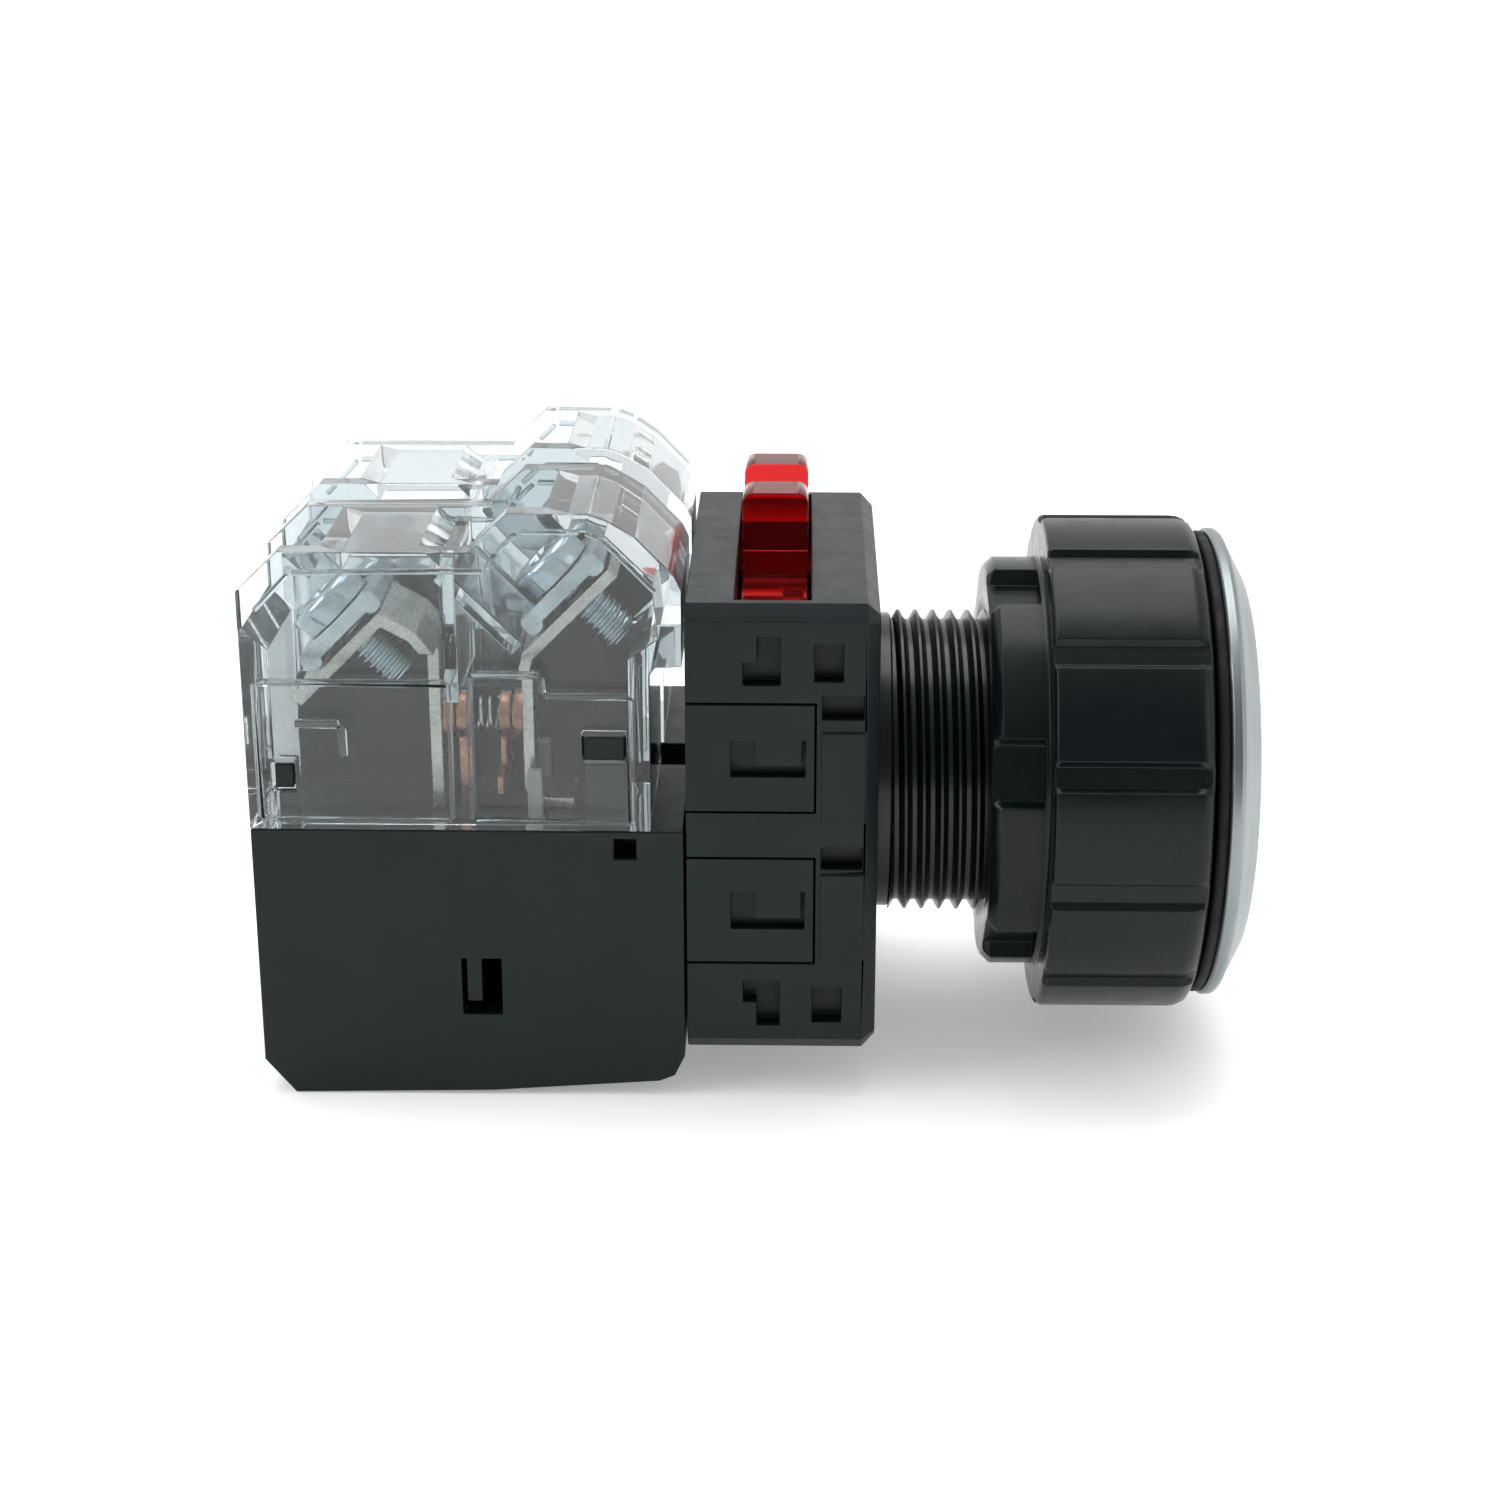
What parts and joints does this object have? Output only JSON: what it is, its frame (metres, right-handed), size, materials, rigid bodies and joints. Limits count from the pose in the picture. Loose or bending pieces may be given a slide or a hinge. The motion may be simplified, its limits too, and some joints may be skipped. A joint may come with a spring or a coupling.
{
  "type": "panel push-button control switch",
  "caption": "Panel-mount push-button switch with a bayonet-locked adapter and clear-covered screw-terminal contact units.",
  "frame": {"origin": "on the barrel axis, in the plane where the gasket meets the panel", "axes": "+X out of the panel toward the operator, +Z toward the terminal side, +Y to the operator's right-hand rule side"},
  "size_m": [0.0772, 0.04, 0.0473],
  "materials": {
    "black_barrel": "moulded, satin",
    "black_moulding": "moulded, fine texture",
    "black_grip": "moulded, satin",
    "rubber_seal": "smooth rubber",
    "satin_aluminium": "satin turned",
    "green_cap": "gloss moulded",
    "red_clear": "translucent gloss",
    "clear_cover": "transparent gloss",
    "natural_acetal": "moulded",
    "nickel_strip": "nickel plated, stamped",
    "zinc_screw": "bright zinc",
    "zinc_clamp": "bright zinc, stamped",
    "copper_contact": "copper alloy",
    "spring_steel": "drawn wire"
  },
  "bodies": {
    "housing": {"operator_body": "black_barrel", "bezel_ring": "satin_aluminium", "panel_gasket": "rubber_seal", "button_stop_ring": "natural_acetal", "return_spring": "spring_steel", "adapter_front": "black_moulding", "adapter_rear": "black_moulding", "unit_cover_near": "clear_cover", "unit_base_near": "black_moulding", "rear_terminal_near": "nickel_strip", "front_terminal_near": "nickel_strip", "rear_clamp_near": "zinc_clamp", "front_clamp_near": "zinc_clamp", "rear_tip_near": "copper_contact", "front_tip_near": "copper_contact", "still_contact_near": "copper_contact", "contact_spring_near": "spring_steel", "plunger_spring_near": "spring_steel", "unit_cover_far": "clear_cover", "unit_base_far": "black_moulding", "rear_terminal_far": "nickel_strip", "front_terminal_far": "nickel_strip", "rear_clamp_far": "zinc_clamp", "front_clamp_far": "zinc_clamp", "rear_tip_far": "copper_contact", "front_tip_far": "copper_contact", "still_contact_far": "copper_contact", "contact_spring_far": "spring_steel", "plunger_spring_far": "spring_steel"},
    "nut": {"ring_nut": "black_grip"},
    "button": {"button_cap": "green_cap", "button_stem": "natural_acetal", "pusher_plate": "natural_acetal"},
    "lock": {"lock_ring": "red_clear"},
    "plunger_near_body": {"plunger_near": "natural_acetal"},
    "moving_contact_near_body": {"moving_contact_near": "copper_contact"},
    "rear_screw_near_body": {"rear_screw_near": "zinc_screw"},
    "front_screw_near_body": {"front_screw_near": "zinc_screw"},
    "plunger_far_body": {"plunger_far": "natural_acetal"},
    "moving_contact_far_body": {"moving_contact_far": "copper_contact"},
    "rear_screw_far_body": {"rear_screw_far": "zinc_screw"},
    "front_screw_far_body": {"front_screw_far": "zinc_screw"}
  },
  "joints": [
    {"name": "button_press", "type": "slide", "parent": "housing", "child": "button", "axis": [-1, 0, 0], "range_m": [0, 0.003], "stiffness_N_per_m": 500, "springref_m": -0.004, "deforming": ["return_spring"]},
    {"name": "ring_nut_turn", "type": "hinge", "parent": "housing", "child": "nut", "pos_m": [-0.008, 0, 0], "axis": [1, 0, 0], "continuous": true},
    {"name": "lock_lever", "type": "hinge", "parent": "housing", "child": "lock", "pos_m": [-0.0336, 0, 0], "axis": [1, 0, 0], "range_deg": [0, 43]},
    {"name": "plunger_near_slide", "type": "slide", "parent": "housing", "child": "plunger_near_body", "axis": [-1, 0, 0], "range_m": [0, 0.003], "deforming": ["plunger_spring_near"]},
    {"name": "contact_near_open", "type": "slide", "parent": "housing", "child": "moving_contact_near_body", "axis": [-1, 0, 0], "range_m": [0, 0.0012], "deforming": ["contact_spring_near"]},
    {"name": "rear_screw_near_turn", "type": "hinge", "parent": "housing", "child": "rear_screw_near_body", "pos_m": [-0.0654, -0.01, 0.0141], "axis": [-0.7071, 0, 0.7071], "continuous": true},
    {"name": "front_screw_near_turn", "type": "hinge", "parent": "housing", "child": "front_screw_near_body", "pos_m": [-0.0485, -0.01, 0.0171], "axis": [-0.7071, 0, 0.7071], "continuous": true},
    {"name": "plunger_far_slide", "type": "slide", "parent": "housing", "child": "plunger_far_body", "axis": [-1, 0, 0], "range_m": [0, 0.003], "deforming": ["plunger_spring_far"]},
    {"name": "contact_far_open", "type": "slide", "parent": "housing", "child": "moving_contact_far_body", "axis": [-1, 0, 0], "range_m": [0, 0.0012], "deforming": ["contact_spring_far"]},
    {"name": "rear_screw_far_turn", "type": "hinge", "parent": "housing", "child": "rear_screw_far_body", "pos_m": [-0.0654, 0.01, 0.0141], "axis": [-0.7071, 0, 0.7071], "continuous": true},
    {"name": "front_screw_far_turn", "type": "hinge", "parent": "housing", "child": "front_screw_far_body", "pos_m": [-0.0485, 0.01, 0.0171], "axis": [-0.7071, 0, 0.7071], "continuous": true}
  ],
  "couplings": [
    {"joint": "plunger_near_slide", "follows": "button_press", "ratio": 1},
    {"joint": "contact_near_open", "follows": "button_press", "ratio": 0.4},
    {"joint": "plunger_far_slide", "follows": "button_press", "ratio": 1},
    {"joint": "contact_far_open", "follows": "button_press", "ratio": 0.4}
  ]
}
